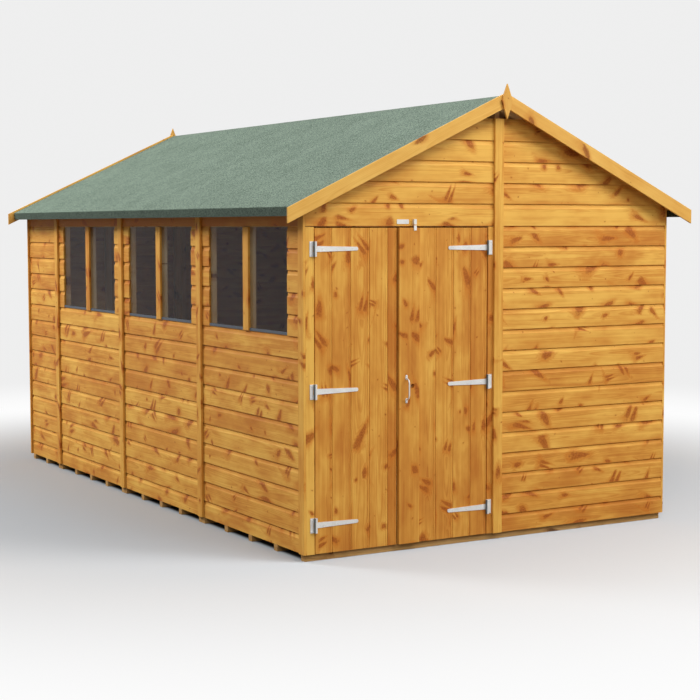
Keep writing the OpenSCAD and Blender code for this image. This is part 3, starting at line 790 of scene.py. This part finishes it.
keptNodes = {  # the solids that show as they are
    windowGlass: ["window_glass"],
    roofFelt: ["roof_felt_left", "roof_felt_right"],
    shadedEavesFelt: ["eaves_bands"],
    hingeZinc: ["hinge_plates", "left_straps", "right_straps"],
    brightZinc: ["catch_keep", "catch_bolt"],
}
for finish, nodes in keptNodes.items():
    for node in nodes:
        slots = frame["nodes"][node].data.materials
        slots.clear()
        slots.append(finish)

screwPlan = {"radius": 0.0038, "rise": 0.0014, "top": 0.6, "rim": 0.25, "sunk": 0.4}


def screw(stack, x, face, z, radius=screwPlan["radius"], rise=screwPlan["rise"]):
    # a pan head with a sunk drive, facing the front
    one, p = bmesh.new(), screwPlan
    bmesh.ops.create_cone(one, cap_ends=True, segments=14, radius1=radius, radius2=radius * p["top"],
                          depth=rise, matrix=Matrix.Translation((x, face - rise / 2, z)) @ faceFront)
    top = min(one.faces, key=lambda f: f.calc_center_median().y)
    bmesh.ops.inset_individual(one, faces=[top], thickness=radius * p["rim"], depth=-rise * p["sunk"])
    stack.lay(one, Vector((x, face, z)), xAxis, zAxis, 0.5)


hingePlan = {"metal": 0.003, "knuckle": 0.009, "plate": 0.0285, "screwIn": 0.009, "screwUp": 0.029,
             "strapScrews": (0.046, 0.132, 0.222)}
strapFace, plateScrews = -halfLength - hingePlan["metal"], Stack("plateScrews")
for hand, side in (("left", 1), ("right", -1)):
    strapScrews = Stack(hand + "StrapScrews")
    for low, high in solidBoxes(hand + "_straps"):
        z, hinge = (low.z + high.z) / 2, (low.x if side > 0 else high.x) + side * hingePlan["knuckle"]
        for reach in hingePlan["strapScrews"]:
            screw(strapScrews, hinge + side * reach, strapFace, z)
        plateX = hinge - side * (hingePlan["plate"] - hingePlan["screwIn"])
        for up in (-1, 1):
            screw(plateScrews, plateX, strapFace, z + up * hingePlan["screwUp"])
    strapScrews.done(brightZinc, hand + "_leaf", "zinc")
plateScrews.done(brightZinc, "shed", "zinc")

handlePlan = {"leg": 0.0545, "reach": 0.029, "bend": 0.024, "bar": 0.004, "sunk": 0.001, "bendSteps": 9,
              "footWide": 0.013, "footLong": 0.027, "footThick": 0.003, "footEdge": 0.0008, "screw": 0.0036}


def pullHandle():  # one round bar, drawn and bent, on two slot-shaped feet
    p, pieces = handlePlan, Stack("pullHandle")
    low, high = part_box("pull_handle")
    x, back, z = (low.x + high.x) / 2, high.y, (low.z + high.z) / 2
    middle, one = Vector((x, back, z)), bmesh.new()
    bmesh.ops.create_circle(one, segments=18, radius=p["bar"],
                            matrix=Matrix.Translation((x, back - p["sunk"], z + p["leg"])) @ faceFront)
    rim, straight, half = list(one.edges), p["reach"] - p["bend"], p["leg"] - p["bend"]
    moves = (("draw", (0, -straight + p["sunk"], 0)), ("bend", z + half), ("draw", (0, 0, -2 * half)),
             ("bend", z - half), ("draw", (0, straight - p["sunk"], 0)))
    for kind, step in moves:
        if kind == "draw":
            fresh = bmesh.ops.extrude_edge_only(one, edges=rim)["geom"]
            bmesh.ops.translate(one, verts=freshVerts(fresh), vec=step)
        else:
            fresh = bmesh.ops.spin(one, geom=rim, cent=(x, back - straight, step), axis=(1, 0, 0),
                                   dvec=(0, 0, 0), angle=math.pi / 2, steps=p["bendSteps"],
                                   use_merge=False, use_duplicate=False)["geom_last"]
        rim = [g for g in fresh if isinstance(g, bmesh.types.BMEdge)]
        if kind == "draw":
            rim = [e for e in rim if all(v in fresh for v in e.verts)]
        rim = [e for e in rim if len(e.link_faces) < 2]
    bmesh.ops.remove_doubles(one, verts=one.verts, dist=1e-6)
    bmesh.ops.holes_fill(one, edges=one.edges, sides=0)
    pieces.lay(one, middle, zAxis, xAxis, 0.5)
    footReach = p["footLong"] - p["footWide"]
    for up in (1, -1):
        one = bmesh.new()
        bmesh.ops.create_circle(one, cap_ends=True, segments=28, radius=p["footWide"] / 2)
        outer = [v for v in one.verts if v.co.y * up > 1e-5]
        bmesh.ops.translate(one, verts=outer, vec=(0, up * footReach, 0))
        drawOut(one, list(one.faces), (0, 0, p["footThick"]))
        soften(one, p["footEdge"])
        standUp(one, Vector((x, back, z + up * p["leg"])), xAxis, zAxis)
        pieces.lay(one, middle, zAxis, xAxis, 0.5)
        screw(pieces, x, back - p["footThick"], z + up * (p["leg"] + footReach), p["screw"])
    pieces.done(brightZinc, "right_leaf", "zinc", "pull_handle")


pullHandle()

platePlan = {"left": -0.644, "right": -0.570, "low": 1.723, "high": 1.747, "thick": 0.0022, "corner": 0.004,
             "edge": 0.0006, "screwIn": 0.0065, "screw": 0.0022, "screwRise": 0.0008}


def blankPlate():
    p, plate = platePlan, Stack("blankPlate")
    face = -halfLength - p["thick"]
    one = plainBoard((p["left"], face, p["low"]), (p["right"], -halfLength, p["high"]), 0)
    corners = [e for e in one.edges if abs(e.verts[0].co.y - e.verts[1].co.y) > 1e-4]
    bmesh.ops.bevel(one, geom=corners, offset=p["corner"], offset_type="OFFSET", affect="EDGES", segments=4,
                    profile=0.5, material=-1)
    soften(one, p["edge"])
    plate.lay(one, Vector((p["left"], -halfLength, p["low"])), xAxis, zAxis, 0.5)
    for x in (p["left"] + p["screwIn"], p["right"] - p["screwIn"]):
        screw(plate, x, face, (p["low"] + p["high"]) / 2, p["screw"], p["screwRise"])
    plate.done(brightZinc, "shed", "zinc")


blankPlate()
print("metal fitted")

studio = {"sky": 0.24, "seen": 0.86, "white": (1, 1, 1, 1),
          "floorRadius": 150, "floorBounce": (0.22, 0.22, 0.22, 1), "floorSeen": (0.61, 0.67, 0.725, 1),
          "floorOpen": (0.69, 0.69, 0.69, 1), "openFrom": 1.8, "openTo": 3.4,
          "underShedShadow": (0.05, 0.052, 0.056, 1), "underShadowSoft": 0.05,
          "matteTo": 2.2, "glowFrom": 5.2, "glow": 0.98, "backFrom": 5.0, "backTo": 8.0}


def shownRays(wire):  # rays that see the backdrop: straight from the camera, mirrored, or through glass
    straight = wire.add("ShaderNodeLightPath", None, None, "Is Camera Ray")
    mirrored, through = straight.other("Is Glossy Ray"), straight.other("Is Transmission Ray")
    return straight.maths("MAXIMUM", mirrored).maths("MAXIMUM", through)


def floorFinish(name):  # matte near the shed, with a painted shadow under it, and as pale as the backdrop farther out
    p, (material, wire) = studio, newFinish(name)
    place = objectPlace(wire)
    distance = wire.add("ShaderNodeVectorMath", {"operation": "LENGTH"}, {0: place}, "Value")
    sideways, forward = (part.maths("ABSOLUTE") for part in place.parts()[:2])
    # painted shadow inside the shed's footprint
    shadowUnderShed = (sideways.fade(halfWidth - p["underShadowSoft"], halfWidth, 1.0, 0.0)
             * forward.fade(halfLength - p["underShadowSoft"], halfLength, 1.0, 0.0))
    # cooler near the shed, a painted tint that cancels the warm light bounced off the wood
    tint = wire.add("ShaderNodeMix", {"data_type": "RGBA"}, {0: distance.fade(p["openFrom"], p["openTo"]),
                                                             6: p["floorSeen"], 7: p["floorOpen"]}, 2)
    matte = wire.add("ShaderNodeBsdfDiffuse", None, {"Color": tint.blend(p["underShedShadow"], shadowUnderShed)})
    bounce = wire.add("ShaderNodeBsdfDiffuse", None, {"Color": p["floorBounce"]})
    glow = wire.add("ShaderNodeEmission", None, {"Color": p["white"], "Strength": p["glow"]})
    back = wire.add("ShaderNodeEmission", None, {"Color": p["white"], "Strength": p["seen"]})

    def mixed(amount, first, second):
        return wire.add("ShaderNodeMixShader", None, {0: amount, 1: first, 2: second})

    far = mixed(distance.fade(p["backFrom"], p["backTo"]), glow, back)
    pale = mixed(distance.fade(p["matteTo"], p["glowFrom"]), matte, far)
    wire.add("ShaderNodeOutputMaterial", None, {"Surface": mixed(shownRays(wire), bounce, pale)})
    return material


floorMesh, ground = bpy.data.meshes.new("studioFloor"), bmesh.new()
bmesh.ops.create_circle(ground, cap_ends=True, segments=96, radius=studio["floorRadius"])
ground.to_mesh(floorMesh)
ground.free()
floorMesh.materials.append(floorFinish("studioFloor"))
floor = bpy.data.objects.new("studioFloor", floorMesh)
scene.collection.objects.link(floor)

world = bpy.data.worlds.new("studio")
scene.world = world
world.use_nodes = True
world.node_tree.nodes.clear()
air = Wire(world.node_tree)
lit = air.add("ShaderNodeBackground", None, {"Color": studio["white"], "Strength": studio["sky"]})
seen = air.add("ShaderNodeBackground", None, {"Color": studio["white"], "Strength": studio["seen"]})
sky = air.add("ShaderNodeMixShader", None, {0: shownRays(air), 1: lit, 2: seen})
air.add("ShaderNodeOutputWorld", None, {"Surface": sky})

lampPlan = {
    "topLight": {"place": (0.6, -6.0, 7.5), "aim": (0, -1.5, 1), "size": 4.0, "power": 240},
    "frontLight": {"place": (6.8, -8.8, 7.5), "aim": (0, -2, 1.2), "size": 6.0, "power": 735},
    "sideLight": {"place": (-7.0, 6.2, 8.4), "aim": (-1.2, 1.0, 1.0), "size": 4.0, "power": 740,
                  "sparesFloor": True},
    "sideGlow": {"place": (-7.0, 6.2, 8.4), "aim": (-1.2, 1.0, 1.0), "size": 4.0, "power": 500},
    "backLight": {"place": (7.4, 6.8, 7.0), "aim": (1.0, 0.8, 1.0), "size": 5.0, "power": 560,
                  "sparesFloor": True},
    "windowFill": {"place": (-6.5, -10.5, 7.0), "aim": (-1.2, 0, 1.2), "size": 4.0, "power": 300},
}
for name, plan in lampPlan.items():
    lamp = bpy.data.lights.new(name, "AREA")
    lamp.shape, lamp.size, lamp.energy = "DISK", plan["size"], plan["power"]
    thing = bpy.data.objects.new(name, lamp)
    thing.location = plan["place"]
    thing.rotation_euler = (Vector(plan["aim"]) - Vector(plan["place"])).to_track_quat("-Z", "Y").to_euler()
    scene.collection.objects.link(thing)
    if "sparesFloor" in plan:  # this lamp leaves the floor dark, so that the shed's shadow stays
        spared = bpy.data.collections.new(name + "Spares")
        spared.objects.link(floor)
        thing.light_linking.receiver_collection = spared
        spared.collection_objects[0].light_linking.link_state = "EXCLUDE"

cameraPlan = {"place": (-4.962, -9.002, 1.710), "pan": -30.34, "tilt": -4.52, "roll": -0.06,
              "lens": 80.3, "sensor": 36}


def turned(degrees, axis):
    return Matrix.Rotation(math.radians(degrees), 4, axis)


camera = bpy.data.objects.new("camera", bpy.data.cameras.new("camera"))
camera.data.lens, camera.data.sensor_width = cameraPlan["lens"], cameraPlan["sensor"]
camera.matrix_world = (Matrix.Translation(cameraPlan["place"]) @ turned(cameraPlan["pan"], "Z")
                       @ turned(90 + cameraPlan["tilt"], "X") @ turned(cameraPlan["roll"], "Z"))
scene.collection.objects.link(camera)
scene.camera = camera
print("studio lit")
